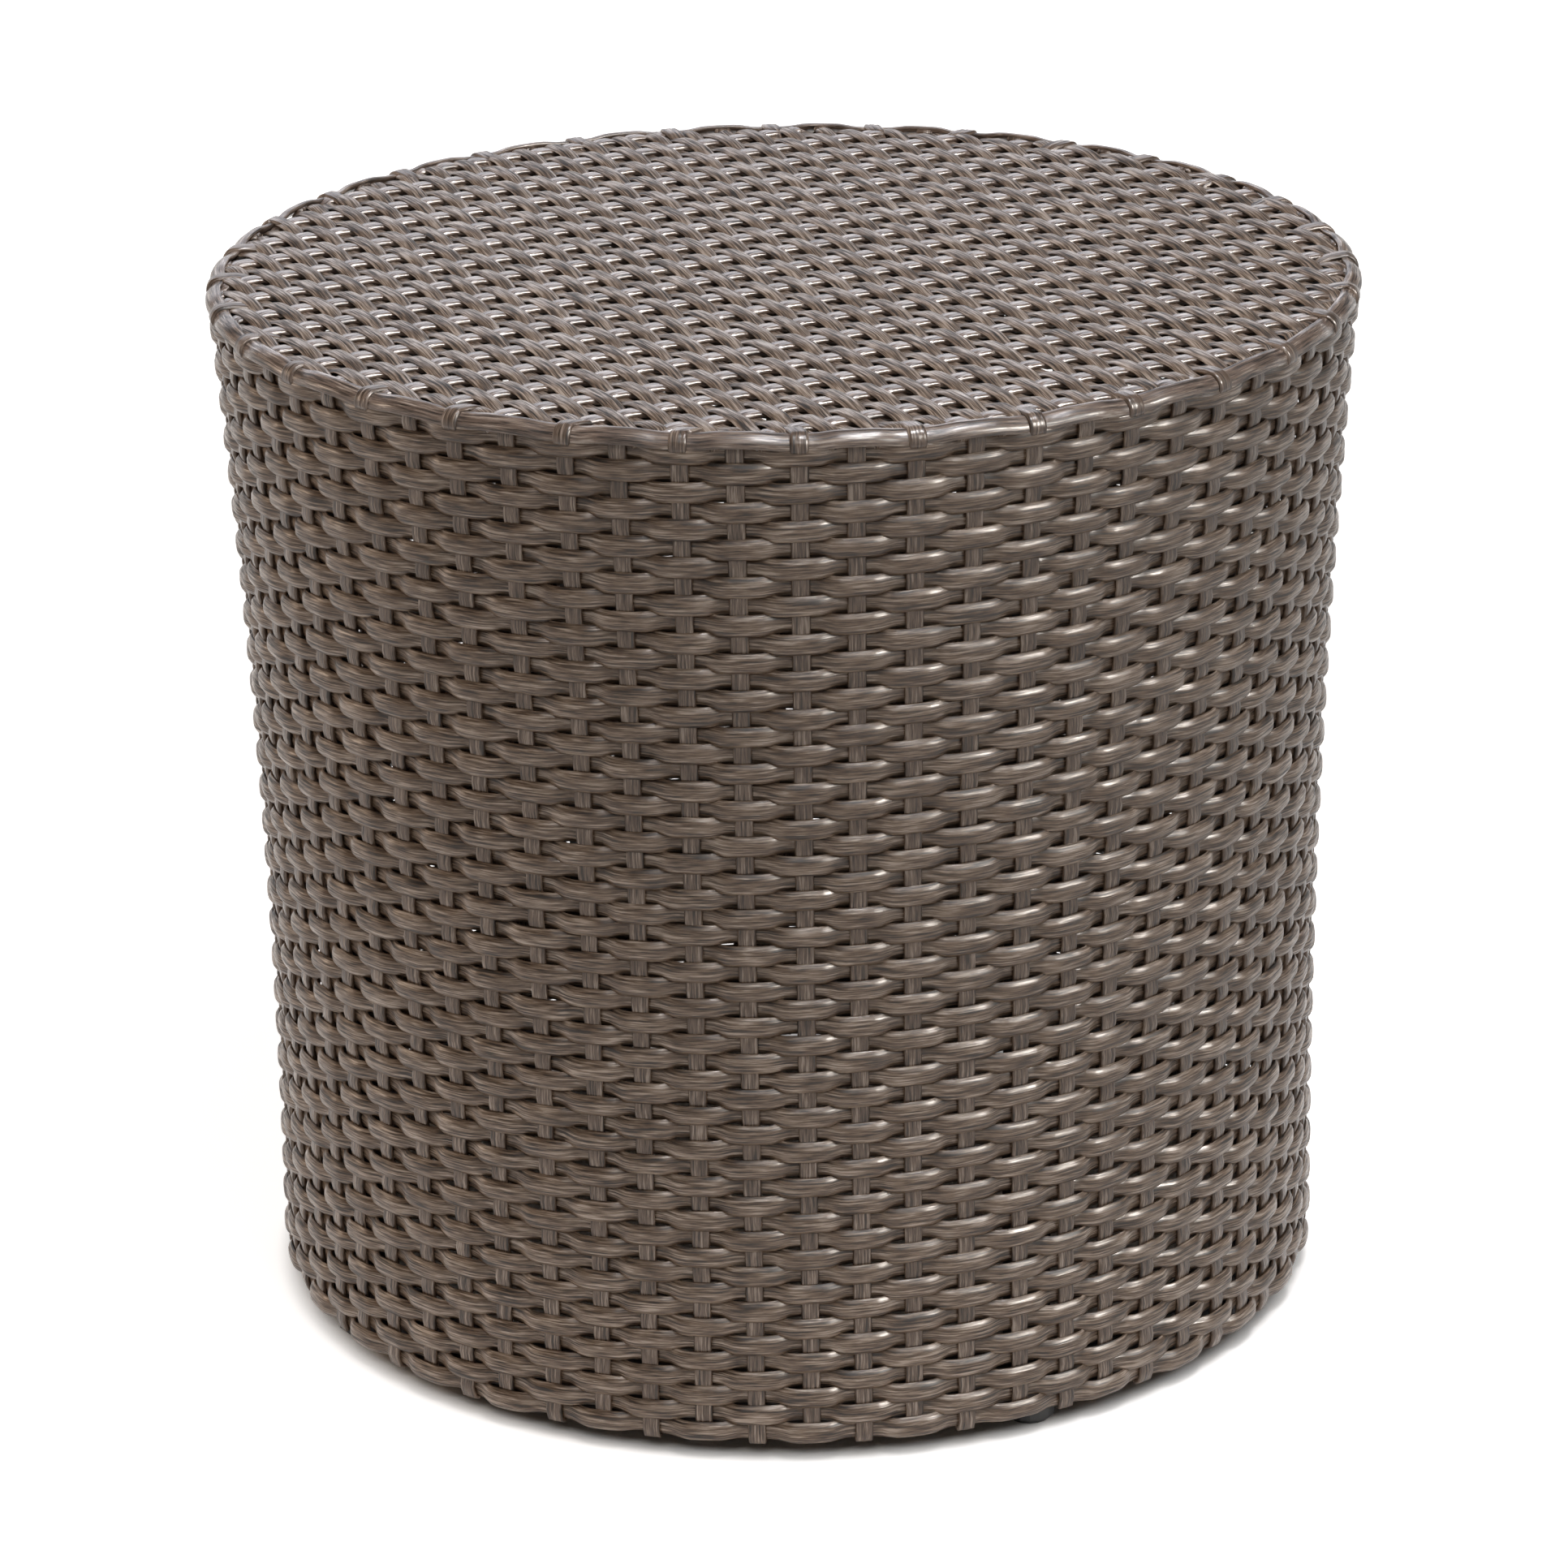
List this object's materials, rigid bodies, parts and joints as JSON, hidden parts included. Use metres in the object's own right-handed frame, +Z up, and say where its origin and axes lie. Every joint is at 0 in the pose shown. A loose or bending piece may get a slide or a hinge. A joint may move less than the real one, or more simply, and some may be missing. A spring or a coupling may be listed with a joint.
{
  "type": "outdoor side table",
  "caption": "Round tapered drum side table, woven all over in flat resin strand on a welded tube frame, open underneath and standing on levelling feet.",
  "frame": {"origin": "on the floor, on the drum's axis", "axes": "+Z up along the drum's axis, -Y towards the side that the picture shows"},
  "size_m": [0.4999, 0.5, 0.46],
  "materials": {
    "frame_tube": "dark powder coat",
    "zinc_steel": "zinc plated",
    "black_nylon": "moulded, matt",
    "resin_stake": "extruded, ribbed lengthwise",
    "resin_weave": "extruded, streaked taupe"
  },
  "bodies": {
    "frame": {"top_ring": "frame_tube", "bottom_ring": "frame_tube", "upright_1": "frame_tube", "upright_2": "frame_tube", "upright_3": "frame_tube", "upright_4": "frame_tube", "top_bar": "frame_tube", "half_bar_1": "frame_tube", "half_bar_2": "frame_tube", "foot_inserts": "zinc_steel", "side_stakes": "resin_stake", "top_stakes": "resin_stake", "woven_side": "resin_weave", "woven_top": "resin_weave", "rim_strand": "resin_weave"},
    "foot_1": {"foot_pad_1": "black_nylon", "foot_stud_1": "zinc_steel"},
    "foot_2": {"foot_pad_2": "black_nylon", "foot_stud_2": "zinc_steel"},
    "foot_3": {"foot_pad_3": "black_nylon", "foot_stud_3": "zinc_steel"},
    "foot_4": {"foot_pad_4": "black_nylon", "foot_stud_4": "zinc_steel"}
  },
  "joints": [
    {"name": "foot_1_level", "type": "slide", "parent": "frame", "child": "foot_1", "axis": [0, 0, -1], "range_m": [0, 0.008]},
    {"name": "foot_2_level", "type": "slide", "parent": "frame", "child": "foot_2", "axis": [0, 0, -1], "range_m": [0, 0.008]},
    {"name": "foot_3_level", "type": "slide", "parent": "frame", "child": "foot_3", "axis": [0, 0, -1], "range_m": [0, 0.008]},
    {"name": "foot_4_level", "type": "slide", "parent": "frame", "child": "foot_4", "axis": [0, 0, -1], "range_m": [0, 0.008]}
  ]
}
